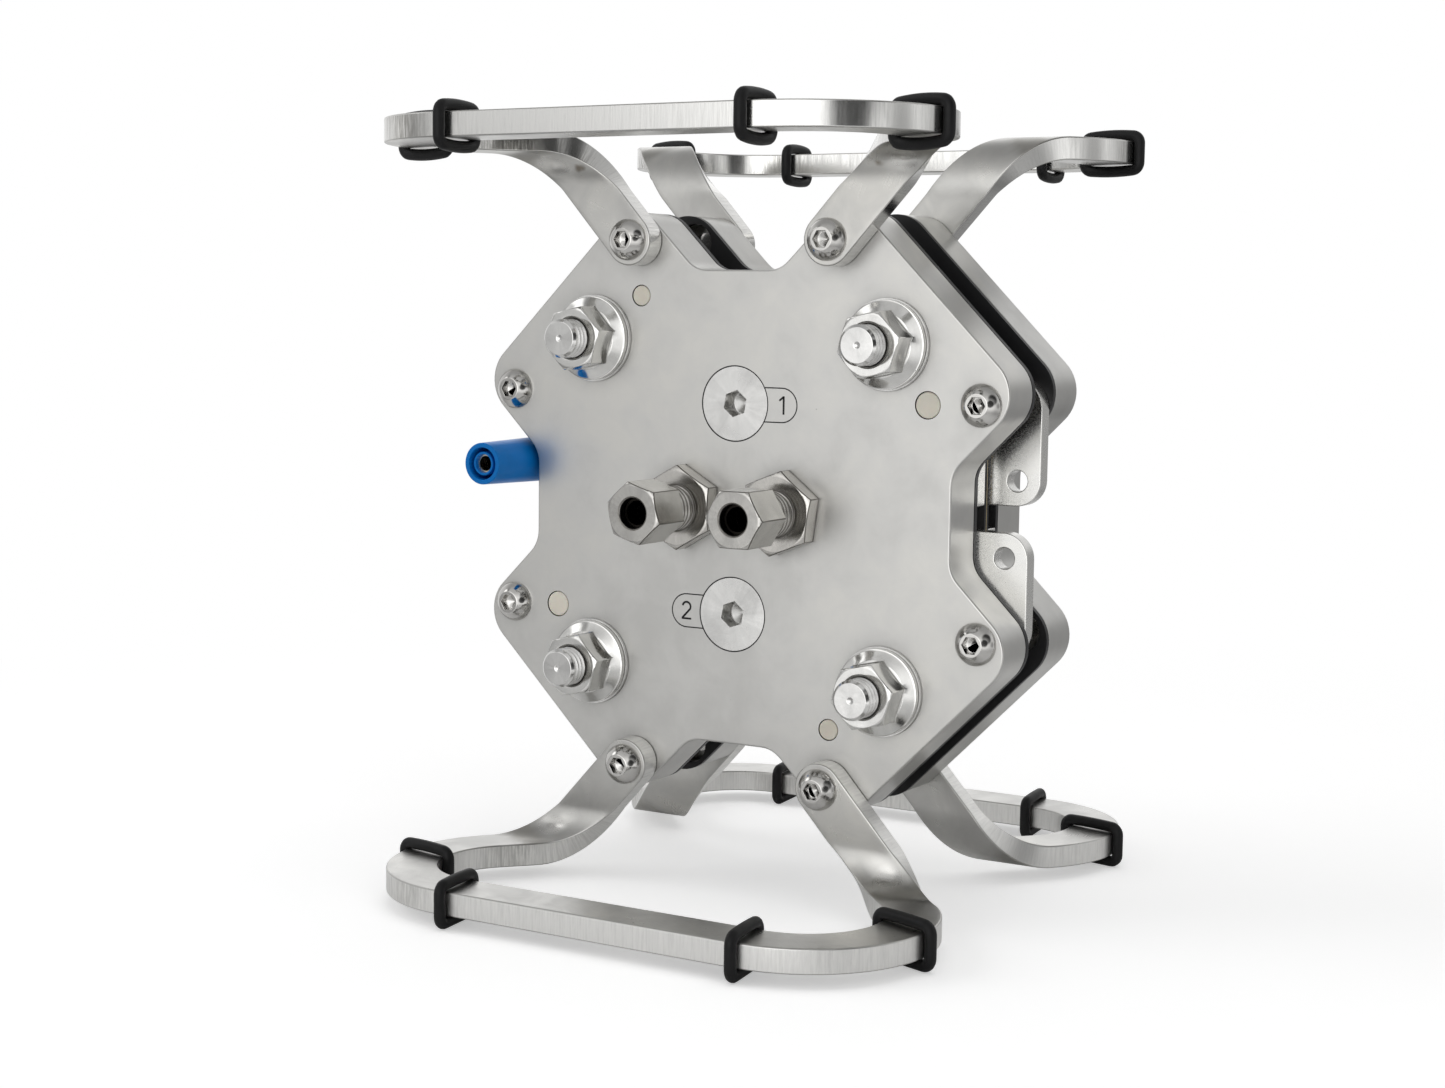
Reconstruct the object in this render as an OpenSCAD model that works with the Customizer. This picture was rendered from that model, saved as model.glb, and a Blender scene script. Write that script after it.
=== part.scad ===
// Electrolysis test cell: a filter-press cell between two cross-lobed end plates
// that stands on bent strip brackets. The cell's axis lies along Y, X runs to the
// right of the front plate and Z points up. The floor is at Z = 0.

/* [Stack] */
// Thickness of each end plate
plate_t = 14; // [12:0.5:17]
// Thickness of each insulating sheet
sheet_t = 1.5; // [1:0.25:2]
// Thickness of each electrode plate
electrode_t = 4.5; // [4:0.25:6]
// Thickness of both gasket frames and the membrane together
middle_t = 2.4; // [2:0.1:3.4]
// Side of the square active area
active_w = 50; // [44:1:54]

/* [End plates] */
// Width across the slanting cuts at opposite corners
plate_across = 156; // [155:0.5:160]
// Distance of each notch floor from the cell's axis
notch_floor = 60.5; // [60:0.25:61.5]
// Width of each notch at its floor
notch_w = 24.4; // [23.6:0.2:25.2]
// Corner radius of the lobes
lobe_r = 10; // [8:0.5:11]

/* [Tie bolts] */
// Distance of each tie bolt from the upright and the level centre planes
bolt_at = 42.65; // [42.25:0.1:43.45]
// Thread size of the tie bolts
bolt_d = 10; // [9:0.5:10]
// Length of bolt that shows in front of each nut
bolt_over = 5.5; // [3:0.5:8]

/* [Brackets] */
// Width of the strip
strip_w = 13; // [11.5:0.5:13.5]
// Thickness of the strip
strip_t = 6; // [5:0.5:6.5]
// Inside radius of the bend
bend_r = 9; // [8:0.5:10]
// Angle between each arm and the upright
arm_angle = 42.2; // [41:0.2:43]
// Centre-line radius of the loop's two corners
corner_r = 26.1; // [25.2:0.3:27]
// Flat length from the screw centres to the middle of the cross bar
bar_at = 79.1; // [77:0.5:82]

/* [O-rings] */
// Cord thickness of the rubber rings on the brackets
cord_d = 3.5; // [3:0.1:4]

/* [Fittings] */
// Outside diameter of the tube the fittings take
tube_d = 6; // [5.5:0.1:6.2]
// Distance between the two fittings of one plate
fitting_pitch = 28.8; // [27.6:0.4:31.6]

/* [Sockets] */
// Length of the insulated sockets in front of the electrode ears
socket_l = 30.5; // [26:0.5:34]
// Bore of the sockets
socket_bore = 4; // [3.8:0.1:4.2]

/* [Hidden] */
$fn = 96;
e = 0.5;
over = 0.001;

// Stack positions along Y, from the front face (y0) to the rear face (y7)
membrane_t = 0.2;
frame_t = (middle_t - membrane_t) / 2;
stack_t = 2 * (plate_t + sheet_t + electrode_t) + middle_t;
y0 = -stack_t / 2;
y1 = y0 + plate_t;
y2 = y1 + sheet_t;
y3 = y2 + electrode_t;

// Screws of the brackets and of the sides
screw_in = 28.7;
screw_out = 67.9;
screw_d = 6;
counter_d = 10;
counter_t = 4;

// Tie bolts
sleeve_d = bolt_d + 3;
flange_d = 2.18 * bolt_d;
nut_t = bolt_d;
washer_t = 1;

// Electrode plates, whose arms pass between the sleeves of the tie bolts
arm_gap = 1.15;
arm_w = 2 * (bolt_at - sleeve_d / 2 - arm_gap);
ear_end = 74.2;
ear_depth = arm_w / 2;
slot_w = 6;
tab_at = [68, 9.3];
tab_d = 5.3;

// Pins
small_pin_d = 5.2;
large_pin_d = 6.5;
small_pin_at = [-28.3, 53.8];
large_pin_at = [53.8, 28.3];

// Port plugs
plug_z = 26.9;
plug_d = 18.85;
plug_shank_d = 10;
plug_cone_t = (plug_d - plug_shank_d) / 2;
plug_t = 11;
plug_gap = 0.18;

// Brackets
arm_tan = tan(arm_angle);
arm_half = strip_w / 2 / cos(arm_angle);
bend_from = 13;
bend_mid_r = bend_r + strip_t / 2;
bend_to = bend_from + PI / 2 * bend_mid_r;
loop_c = bar_at - corner_r;
loop_x = screw_in + (loop_c * sin(arm_angle) - corner_r) / cos(arm_angle);
loop_out_r = corner_r + strip_w / 2;
loop_in_r = corner_r - strip_w / 2;
bend_steps = 20;
clear_w = 300;
foot_z = bend_from + bend_r + strip_t;

// O-rings, tight on the strip's edges and standing slightly off its flat faces
squeeze = 0.1;
ring_gap = 0.5;
ring_corner_r = cord_d / 2 + 0.6;
axis_h = screw_out + foot_z + cord_d - squeeze;

// Fittings
body_af = 19;
body_hex_t = 5;
spigot_d = 13;
spigot_t = 12;
thread_d = 2 * tube_d;
fit_nut_af = 14;
fit_nut_from = 12.8;
fit_nut_to = 25.2;
neck_tip = 19;
feed_d = 4;
body_turns = [30, 21.8];
nut_turns = [43, 0];

// Sockets
shroud_d = 11;
shroud_base_d = 12.3;
shroud_wall = 1.25;
contact_d = socket_bore + 0.8;
sleeve_in_d = contact_d + 1.5;
stud_d = 5;
socket_nut_af = 8;
socket_nut_t = 2.7;
contact_flange_d = 9;
contact_flange_t = 1.5;
bore_from = 4;

function unit(v) = v / norm(v);
function turn_of(a, b) = a.x * b.y - a.y * b.x;
function at(p, i) = p[(i + len(p)) % len(p)];
function dir_in(p, i) = unit(at(p, i) - at(p, i - 1));
function dir_out(p, i) = unit(at(p, i + 1) - at(p, i));
function bend(p, i) = acos(max(-1, min(1, dir_in(p, i) * dir_out(p, i))));
function reach(p, r, i) = r[i] * tan(bend(p, i) / 2);
function centre(p, r, i) =
    at(p, i) + unit(dir_out(p, i) - dir_in(p, i)) * r[i] / cos(bend(p, i) / 2);
function turned(p, k) = k == 0 ? p : turned([for (q = p) [-q.y, q.x]], k - 1);

// A polygon, anticlockwise, whose corners are true arcs of the radii in r. At slanting
// corners the arcs are drawn larger by over, so that they cross the straight sides cleanly.
module rounded(p, r, over = 0) {
    difference() {
        union() {
            polygon([for (i = [0:len(p) - 1], k = [-1, 1])
                at(p, i) + (k < 0 ? -dir_in(p, i) : dir_out(p, i)) * reach(p, r, i)]);
            for (i = [0:len(p) - 1])
                if (r[i] > 0 && turn_of(dir_in(p, i), dir_out(p, i)) > 0)
                    translate(centre(p, r, i)) circle(r[i] + over);
        }
        for (i = [0:len(p) - 1])
            if (r[i] > 0 && turn_of(dir_in(p, i), dir_out(p, i)) < 0)
                translate(centre(p, r, i)) circle(r[i] + over);
    }
}

// Draws a shape of X and Z from y to y + t
module slab(y, t) {
    translate([0, y + t, axis_h]) rotate([90, 0, 0]) linear_extrude(t) children();
}

// Puts a shape made upwards along +Z on the front face, pointing out of it
module on_front(p, y = y0) {
    translate([p.x, y, axis_h + p.y]) rotate([90, 0, 0]) children();
}

// The same on the rear face
module on_rear(p, y = -y0) {
    translate([p.x, y, axis_h + p.y]) rotate([-90, 0, 0]) children();
}

module holes(points, d) {
    for (p = points) translate(p) circle(d = d);
}

module hexagon(af) {
    circle(d = af / cos(30), $fn = 6);
}

// A hexagonal head whose outer corners are turned off
module hex_head(af, h, cut = 1) {
    intersection() {
        cylinder(d = af / cos(30), h = h, $fn = 6);
        union() {
            cylinder(d = af + 4 * cut, h = h - cut);
            translate([0, 0, h - cut]) cylinder(d1 = af + 4 * cut, d2 = af - 0.4, h = cut);
        }
    }
}

fours = [for (x = [-1, 1], z = [-1, 1]) [x, z]];
bolt_points = [for (q = fours) bolt_at * q];
bracket_points = [for (q = fours) [q.x * screw_in, q.y * screw_out]];
side_points = [for (q = fours) [q.x * screw_out, q.y * screw_in]];
small_pin_points = [small_pin_at, -small_pin_at];
large_pin_points = [large_pin_at, -large_pin_at];
plug_points = [[0, plug_z], [0, -plug_z]];
feed_points = [[-fitting_pitch / 2, 0], [fitting_pitch / 2, 0]];

// Outline of the end plates and of the insulating sheets
cut_sum = plate_across / sqrt(2);
wall_diff = notch_floor - notch_w / 2;
quarter = [
    [notch_floor, notch_w / 2],
    [(cut_sum + wall_diff) / 2, (cut_sum - wall_diff) / 2],
    [(cut_sum - wall_diff) / 2, (cut_sum + wall_diff) / 2],
    [notch_w / 2, notch_floor]
];
outline = [for (k = [0:3], p = turned(quarter, k)) p];

module plate_outline() {
    rounded(outline, [for (k = [0:3], r = [8, lobe_r, lobe_r, 8]) r], over);
}

module plate_holes() {
    holes(bolt_points, sleeve_d + 0.3);
    holes(concat(bracket_points, side_points), screw_d + 0.1);
    holes(small_pin_points, small_pin_d + 0.4);
    holes(large_pin_points, large_pin_d + 0.4);
    holes(feed_points, feed_d);
}

// One end plate with its outer face at Z = 0 and its inner face at Z = -plate_t
module end_plate() {
    difference() {
        translate([0, 0, -plate_t]) linear_extrude(plate_t) difference() {
            plate_outline();
            plate_holes();
        }
        for (p = concat(bracket_points, side_points)) translate([p.x, p.y, -plate_t - e])
            cylinder(d = counter_d, h = counter_t + e);
        for (p = feed_points) translate([p.x, p.y, -spigot_t - 0.3])
            cylinder(d = spigot_d + 0.1, h = spigot_t + 0.3 + e);
    }
}

// The countersunk port and the engraved tab outline beside it
module port_cut(p, side) {
    g = plug_gap;
    translate([p.x, p.y, 0]) {
        translate([0, 0, -plug_t - 0.4]) cylinder(d = plug_shank_d + 0.2, h = plug_t + 1);
        translate([0, 0, -plug_cone_t])
            cylinder(d1 = plug_shank_d + 2 * g, d2 = plug_d + 2 * g, h = plug_cone_t);
        cylinder(d = plug_d + 2 * g, h = e);
        translate([0, 0, -0.25]) linear_extrude(e) difference() {
            tab_outline(side, 0.16);
            tab_outline(side, -0.16);
        }
    }
}

module tab_outline(side, grow) {
    h = 8.6 / 2;
    x = 17.9 - h;
    difference() {
        union() {
            translate([side > 0 ? 0 : -x, -h - grow]) square([x, 2 * (h + grow)]);
            translate([side * x, 0]) circle(h + grow);
        }
        if (grow < 0) circle(d = plug_d);
    }
}

module front_end_plate() {
    color([0.72, 0.72, 0.7]) on_front([0, 0]) difference() {
        end_plate();
        port_cut(plug_points[0], 1);
        port_cut(plug_points[1], -1);
    }
}

module rear_end_plate() {
    color([0.72, 0.72, 0.7]) translate([0, 0, axis_h]) mirror([0, 1, 0])
        translate([0, y0, 0]) rotate([90, 0, 0]) end_plate();
}

module sheet() {
    difference() {
        plate_outline();
        holes(bolt_points, sleeve_d + 0.3);
        holes(concat(bracket_points, side_points), counter_d + 0.4);
        holes(small_pin_points, small_pin_d);
        holes(large_pin_points, large_pin_d);
        holes(feed_points, feed_d);
    }
}

module front_insulating_sheet() {
    color([0.08, 0.08, 0.08]) slab(y1, sheet_t) sheet();
}

module rear_insulating_sheet() {
    color([0.08, 0.08, 0.08]) slab(-y2, sheet_t) sheet();
}

// Cross that the electrode plates and the gasket frames share
module cross() {
    f = notch_floor;
    a = arm_w / 2;
    arm = [[f, -a], [f, a], [a, a]];
    rounded([for (k = [0:3], p = turned(arm, k)) p], [for (k = [0:3], r = [2, 2, 3]) r]);
}

// An ear beyond the right arm, below the level centre plane
module ear() {
    rounded([[notch_floor - 6, -ear_depth], [ear_end, -ear_depth],
        [ear_end, -slot_w / 2], [notch_floor - 6, -slot_w / 2]], [0, 8, 6.5, 0]);
}

module electrode_outline() {
    difference() {
        union() {
            cross();
            ear();
            rotate(180) ear();
        }
        for (k = [-1, 1]) {
            translate([k * notch_floor, 0]) circle(d = slot_w);
            translate([k * tab_at.x, -k * tab_at.y]) circle(d = tab_d);
        }
        holes(small_pin_points, small_pin_d);
        holes(large_pin_points, large_pin_d);
        holes(feed_points, 3);
    }
}

// Channels that lead from one feed hole to the other over the active area
module flow_field() {
    half = active_w / 2 - 2;
    for (k = [-1, 1]) {
        translate([k * half - 0.75, -half]) square([1.5, 2 * half]);
        translate([k > 0 ? fitting_pitch / 2 : -half, -0.75])
            square([half - fitting_pitch / 2, 1.5]);
    }
    rows = floor(half / 4);
    for (i = [0:rows - 1], k = [-1, 1]) translate([-half, k * (2 + 4 * i) - 0.75])
        square([2 * half, 1.5]);
}

module front_electrode_plate() {
    color([0.62, 0.62, 0.6]) difference() {
        slab(y2, electrode_t) electrode_outline();
        slab(y3 - 1.2, 1.2 + e) flow_field();
    }
}

// The rear plate is the front one turned over, so its ears are on the other side
module rear_electrode_plate() {
    color([0.62, 0.62, 0.6]) difference() {
        slab(-y3, electrode_t) difference() {
            mirror([1, 0]) electrode_outline();
            holes(small_pin_points, small_pin_d);
            holes(large_pin_points, large_pin_d);
        }
        slab(-y3 - e, 1.2 + e) flow_field();
    }
}

module gasket_shape() {
    difference() {
        cross();
        square(active_w, center = true);
        holes(small_pin_points, small_pin_d);
        holes(large_pin_points, large_pin_d);
    }
}

module front_gasket_frame() {
    color([0.15, 0.15, 0.15]) slab(y3, frame_t) gasket_shape();
}

module rear_gasket_frame() {
    color([0.15, 0.15, 0.15]) slab(-y3 - frame_t, frame_t) gasket_shape();
}

module front_transport_layer() {
    color([0.45, 0.45, 0.45]) slab(y3, frame_t) square(active_w - 0.1, center = true);
}

module rear_transport_layer() {
    color([0.3, 0.3, 0.3]) slab(-y3 - frame_t, frame_t)
        square(active_w - 0.1, center = true);
}

module membrane() {
    color([0.85, 0.75, 0.45]) slab(y3 + frame_t, membrane_t) difference() {
        cross();
        holes(small_pin_points, small_pin_d);
        holes(large_pin_points, large_pin_d);
    }
}

// Tie bolt, drawn from the rear head towards the nut; Z = 0 is the head's seat
module tie_bolt() {
    grip = stack_t + 2 * washer_t + nut_t;
    r = bolt_d / 2;
    p = 0.15 * bolt_d;
    n = floor((bolt_over - 0.8) / p);
    translate([0, 0, -0.86 * bolt_d]) difference() {
        rotate([180, 0, 0]) translate([0, 0, -0.86 * bolt_d]) flanged_hex(0.86 * bolt_d);
        translate([0, 0, -e]) cylinder(d = 0.8 * bolt_d, h = e + 0.4);
    }
    rotate_extrude() polygon(concat(
        [[0, 0], [r, 0], [r, grip]],
        [for (i = [0:n - 1], k = [0:3]) [k == 0 || k == 3 ? r : r - 0.09 * bolt_d,
            grip + i * p + [0.04, 0.4, 0.6, 0.96][k] * p]],
        [[r, grip + bolt_over - 0.7], [r - 0.7, grip + bolt_over],
            [1, grip + bolt_over], [0, grip + bolt_over - 0.5]]));
}

// Flange with a hexagon on it, seat at Z = 0
module flanged_hex(h) {
    cylinder(d = flange_d, h = 0.14 * bolt_d);
    translate([0, 0, 0.14 * bolt_d])
        cylinder(d1 = flange_d - 0.5, d2 = 1.62 * bolt_d, h = 0.16 * bolt_d);
    hex_head(1.5 * bolt_d, h, 0.9);
}

module tie_bolts() {
    color([0.7, 0.7, 0.68]) for (p = bolt_points)
        on_front(p, -y0 + washer_t) tie_bolt();
}

module flange_nuts() {
    color([0.75, 0.75, 0.73]) for (p = bolt_points) on_front(p, y0 - washer_t)
        rotate([0, 0, 13]) difference() {
            flanged_hex(nut_t);
            translate([0, 0, -e]) cylinder(d = bolt_d + 0.06, h = nut_t + 2 * e);
            translate([0, 0, nut_t - 0.6])
                cylinder(d1 = bolt_d, d2 = bolt_d + 1.6, h = 0.8);
        }
}

module tie_washers() {
    color([0.7, 0.7, 0.68]) for (p = bolt_points, y = [y0 - washer_t, -y0])
        translate([p.x, y, axis_h + p.y]) rotate([-90, 0, 0]) difference() {
            cylinder(d = flange_d + 0.9, h = washer_t);
            translate([0, 0, -e]) cylinder(d = bolt_d + 0.4, h = washer_t + 2 * e);
        }
}

module bolt_sleeves() {
    color([0.1, 0.1, 0.1]) for (p = bolt_points)
        on_front(p, -y0) difference() {
            cylinder(d = sleeve_d, h = stack_t);
            translate([0, 0, -e]) cylinder(d = bolt_d + 0.1, h = stack_t + 2 * e);
        }
}

// Flat pattern of a bracket: X to the side, -Y down from the screw centres
function edge_out(s) = s < loop_c - loop_out_r * sin(arm_angle)
    ? screw_in + s * arm_tan + arm_half
    : loop_x + sqrt(pow(loop_out_r, 2) - pow(s - loop_c, 2));
function edge_in(s) = screw_in + s * arm_tan - arm_half;

module flat_bracket() {
    v = [strip_w / 2 * cos(arm_angle), strip_w / 2 * sin(arm_angle)];
    s_out = bar_at + strip_w / 2;
    s_in = bar_at - strip_w / 2;
    x_out = screw_in + s_out * arm_tan + arm_half;
    x_in = screw_in + s_in * arm_tan - arm_half;
    s_top = -14;
    x_top = screw_in + s_top * arm_tan - arm_half;
    difference() {
        rounded([[screw_in - v.x, -v.y], [-screw_in + v.x, -v.y], [-screw_in - v.x, v.y],
            [-x_out, -s_out], [x_out, -s_out], [screw_in + v.x, v.y]],
            [0, 0, 0, loop_out_r, loop_out_r, 0], over);
        rounded([[-x_top, -s_top], [-x_in, -s_in], [x_in, -s_in], [x_top, -s_top]],
            [0, loop_in_r, loop_in_r, 0], over);
    }
    for (k = [-1, 1]) translate([k * screw_in, 0]) circle(strip_w / 2 + over);
}

// The bent stretch of one arm: every slice is level, so the bend line stays along X.
// Its sides lie a hundredth of a millimetre inside those of the flat stretches.
module arm_bend(k) {
    inset = 0.01;
    a = [for (i = [0:bend_steps]) 90 * i / bend_steps];
    s = [for (i = a) bend_from + bend_mid_r * i * PI / 180];
    pts = [for (i = [0:bend_steps], c = [[0, 0], [1, 0], [1, strip_t], [0, strip_t]])
        [k * (c.x == 0 ? edge_in(s[i]) + inset : edge_out(s[i]) - inset),
            -strip_t - bend_r + (bend_r + c.y) * cos(a[i]),
            -bend_from - (bend_r + c.y) * sin(a[i])]];
    function quad(i, j) = [4 * i + j, 4 * i + 4 + j, 4 * i + 4 + (j + 1) % 4, 4 * i + (j + 1) % 4];
    sides = [for (i = [0:bend_steps - 1], j = [0:3], h = [0, 1])
        let (q = quad(i, j)) h == 0 ? [q[0], q[1], q[2]] : [q[0], q[2], q[3]]];
    n = 4 * bend_steps;
    ends = [[0, 1, 2], [0, 2, 3], [n + 2, n + 1, n], [n + 3, n + 2, n]];
    all = concat(sides, ends);
    polyhedron(pts, k < 0 ? all : [for (f = all) [f[2], f[1], f[0]]], convexity = 4);
}

// A bracket below the axis of its screws, on a plate face at Y = 0 that faces -Y
module bracket() {
    w = clear_w;
    difference() {
        union() {
            rotate([90, 0, 0]) linear_extrude(strip_t) difference() {
                flat_bracket();
                translate([-w / 2, -bend_from - w]) square(w);
            }
            arm_bend(1);
            arm_bend(-1);
            translate([0, bend_to - strip_t - bend_r, -foot_z]) linear_extrude(strip_t)
                difference() {
                    flat_bracket();
                    translate([-w / 2, -bend_to]) square(w);
                }
        }
        for (k = [-1, 1]) translate([k * screw_in, e, 0]) rotate([90, 0, 0])
            cylinder(d = screw_d + 0.4, h = strip_t + 2 * e);
    }
}

// Places a bracket, or what rides on it, at the front or rear and bottom or top
module bracket_place(front, bottom) {
    translate([0, 0, axis_h]) mirror([0, front ? 0 : 1, 0]) mirror([0, 0, bottom ? 0 : 1])
        translate([0, y0, -screw_out]) children();
}

module front_top_bracket() {
    color([0.74, 0.74, 0.72]) bracket_place(true, false) bracket();
}

module front_bottom_bracket() {
    color([0.74, 0.74, 0.72]) bracket_place(true, true) bracket();
}

module rear_top_bracket() {
    color([0.74, 0.74, 0.72]) bracket_place(false, false) bracket();
}

module rear_bottom_bracket() {
    color([0.74, 0.74, 0.72]) bracket_place(false, true) bracket();
}

// Button-head screw with its seat at Z = 0; the shank runs down to -l
module button_screw(l) {
    difference() {
        intersection() {
            cylinder(d = 10.5, h = 3.3);
            translate([0, 0, -1.52]) sphere(5.625);
        }
        translate([0, 0, 1.1]) linear_extrude(3) hexagon(4);
        translate([0, 0, 0.2]) cylinder(d1 = 0.4, d2 = 3.6, h = 0.92);
    }
    translate([0, 0, -l]) cylinder(d = screw_d, h = l + 0.05);
    translate([0, 0, -l]) cylinder(d = screw_d - 0.6, h = 0.2);
}

module bracket_screws() {
    color([0.78, 0.78, 0.76]) for (p = bracket_points) {
        on_front(p, y0 - strip_t) button_screw(strip_t + plate_t - counter_t - 0.2);
        on_rear(p, -y0 + strip_t) button_screw(strip_t + plate_t - counter_t - 0.2);
    }
}

module side_screws() {
    color([0.78, 0.78, 0.76]) for (p = side_points) {
        on_front(p) button_screw(plate_t - counter_t - 2);
        on_rear(p) button_screw(plate_t - counter_t - 2);
    }
}

module small_pins() {
    color([0.86, 0.8, 0.68]) slab(y0, stack_t) holes(small_pin_points, small_pin_d);
}

module large_pins() {
    color([0.86, 0.8, 0.68]) slab(y0, stack_t) holes(large_pin_points, large_pin_d);
}

// Flush plug screw with a hexagon socket that ends in a drilled bottom
module port_plugs() {
    color([0.8, 0.8, 0.78]) for (p = plug_points) on_front(p) difference() {
        union() {
            translate([0, 0, -plug_cone_t])
                cylinder(d1 = plug_shank_d, d2 = plug_d, h = plug_cone_t);
            translate([0, 0, -plug_t]) cylinder(d = plug_shank_d, h = plug_t - plug_cone_t + 0.2);
        }
        translate([0, 0, -4.6]) linear_extrude(5) rotate(20) hexagon(6);
        translate([0, 0, -6]) cylinder(d1 = 1, d2 = 5.6, h = 1.41);
    }
}

// Body of a tube fitting; Z = 0 is the plate's face
module fitting_body(turn) {
    r = thread_d / 2;
    p = 1.5;
    tip = neck_tip;
    n = floor((tip - 1 - body_hex_t - 1) / p);
    difference() {
        union() {
            translate([0, 0, -spigot_t]) cylinder(d = spigot_d, h = spigot_t + 0.1);
            rotate([0, 0, turn]) hex_head(body_af, body_hex_t, 0.8);
            rotate_extrude() polygon(concat(
                [[0, 0], [r, 0], [r, body_hex_t + 0.4], [r - 0.8, body_hex_t + 0.6]],
                [for (i = [0:n - 1], k = [0:3]) [k == 0 || k == 3 ? r - 0.8 : r,
                    body_hex_t + 1 + i * p + [0.04, 0.42, 0.58, 0.96][k] * p]],
                [[r - 0.9, tip], [0, tip]]));
        }
        translate([0, 0, -spigot_t - e]) cylinder(d = feed_d, h = spigot_t + tip + 2 * e);
        translate([0, 0, tip - 11]) cylinder(d = tube_d + 0.2, h = 12);
        translate([0, 0, tip - 1.2]) cylinder(d1 = tube_d + 0.2, d2 = tube_d + 2.4, h = 1.3);
    }
}

module fitting_bodies() {
    color([0.72, 0.72, 0.7]) {
        for (i = [0, 1]) on_front(feed_points[i]) fitting_body(body_turns[i]);
        for (i = [0, 1]) on_rear(feed_points[i]) fitting_body(body_turns[i]);
    }
}

// Union nut over the neck, with room inside for the neck and the ferrule
module fitting_nut(turn) {
    l = fit_nut_to - fit_nut_from;
    translate([0, 0, fit_nut_from]) difference() {
        rotate([0, 0, turn]) hex_head(fit_nut_af, l, 0.9);
        translate([0, 0, -e]) cylinder(d = thread_d + 0.06, h = 8.6 + e);
        translate([0, 0, 8.55]) cylinder(d1 = thread_d + 0.06, d2 = tube_d + 3, h = 1.6);
        translate([0, 0, -e]) cylinder(d = tube_d + 1.6, h = l + 2 * e);
        translate([0, 0, l - 0.4]) cylinder(d1 = tube_d + 1.6, d2 = tube_d + 2.4, h = 0.5);
    }
}

module fitting_nuts() {
    color([0.74, 0.74, 0.72]) {
        for (i = [0, 1]) on_front(feed_points[i]) fitting_nut(nut_turns[i]);
        for (i = [0, 1]) on_rear(feed_points[i]) fitting_nut(nut_turns[i]);
    }
}

// Cutting ring between the neck's cone and the nut
module ferrule() {
    translate([0, 0, neck_tip]) difference() {
        union() {
            translate([0, 0, -0.9]) cylinder(d1 = tube_d + 0.6, d2 = tube_d + 2.1, h = 0.9);
            cylinder(d = tube_d + 2.1, h = 2);
            translate([0, 0, 1.9]) cylinder(d = tube_d + 1.4, h = 1.9);
        }
        translate([0, 0, -2]) cylinder(d = tube_d + 0.2, h = 7);
    }
}

module fitting_ferrules() {
    color([0.66, 0.66, 0.64]) for (p = feed_points) {
        on_front(p) ferrule();
        on_rear(p) ferrule();
    }
}

// A rubber ring round the strip; the strip lies along Z with its faces at Y = +-half.
// The gaps say how far the runs stand off the two faces.
module o_ring(gap_in, gap_out) {
    r = ring_corner_r;
    x = strip_w / 2 + cord_d / 2 - squeeze - r;
    y_in = strip_t / 2 + cord_d / 2 + gap_in - r;
    y_out = strip_t / 2 + cord_d / 2 + gap_out - r;
    translate([-x, y_in + r, 0]) rotate([0, 90, 0]) cylinder(d = cord_d, h = 2 * x);
    translate([-x, -y_out - r, 0]) rotate([0, 90, 0]) cylinder(d = cord_d, h = 2 * x);
    for (k = [-1, 1]) {
        translate([k * (x + r), -y_out, 0]) rotate([-90, 0, 0])
            cylinder(d = cord_d, h = y_in + y_out);
        translate([k * x, y_in, 0]) rotate([0, 0, k > 0 ? 0 : 90]) ring_corner();
        translate([k * x, -y_out, 0]) rotate([0, 0, k > 0 ? 270 : 180]) ring_corner();
    }
}

module ring_corner() {
    rotate_extrude(angle = 90) translate([ring_corner_r, 0]) circle(d = cord_d);
}

// Two rings at each corner of a loop: one on the bar and one round the corner
module o_rings(gap_out) {
    w = clear_w;
    drop = bend_to - strip_t - bend_r;
    translate([0, drop, -foot_z + strip_t / 2]) difference() {
        for (k = [-1, 1]) {
            translate([k * (loop_x - 1), -bar_at, 0]) rotate([90, 0, 90])
                o_ring(ring_gap, gap_out);
            translate([k * loop_x, -loop_c, 0]) rotate([0, 0, k > 0 ? -3 : 183])
                translate([corner_r, 0, 0]) rotate([90, 0, 0]) o_ring(ring_gap, gap_out);
        }
        translate([0, 0, -strip_t / 2]) linear_extrude(strip_t) difference() {
            flat_bracket();
            translate([-w / 2, -bend_to - 1]) square(w);
        }
    }
}

module front_top_o_rings() {
    color([0.05, 0.05, 0.05]) bracket_place(true, false) o_rings(ring_gap);
}

module front_bottom_o_rings() {
    color([0.05, 0.05, 0.05]) bracket_place(true, true) o_rings(-squeeze);
}

module rear_top_o_rings() {
    color([0.05, 0.05, 0.05]) bracket_place(false, false) o_rings(ring_gap);
}

module rear_bottom_o_rings() {
    color([0.05, 0.05, 0.05]) bracket_place(false, true) o_rings(-squeeze);
}

// Insulated socket; Z = 0 is the ear's face and the mouth is at socket_l
module shroud() {
    deep = socket_l - 9;
    difference() {
        union() {
            cylinder(d1 = shroud_base_d, d2 = shroud_base_d - 0.4, h = 9);
            translate([0, 0, 9])
                cylinder(d1 = shroud_base_d - 0.4, d2 = shroud_d, h = deep);
        }
        difference() {
            translate([0, 0, 9.5]) cylinder(d = shroud_d - 2 * shroud_wall, h = socket_l);
            translate([0, 0, 9]) cylinder(d = sleeve_in_d, h = socket_l - 9.6);
        }
        translate([0, 0, -e]) cylinder(d = contact_d + 0.1, h = socket_l + 2 * e);
        translate([0, 0, -e])
            cylinder(d = contact_flange_d + 0.1, h = contact_flange_t + 0.1 + e);
    }
}

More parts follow.
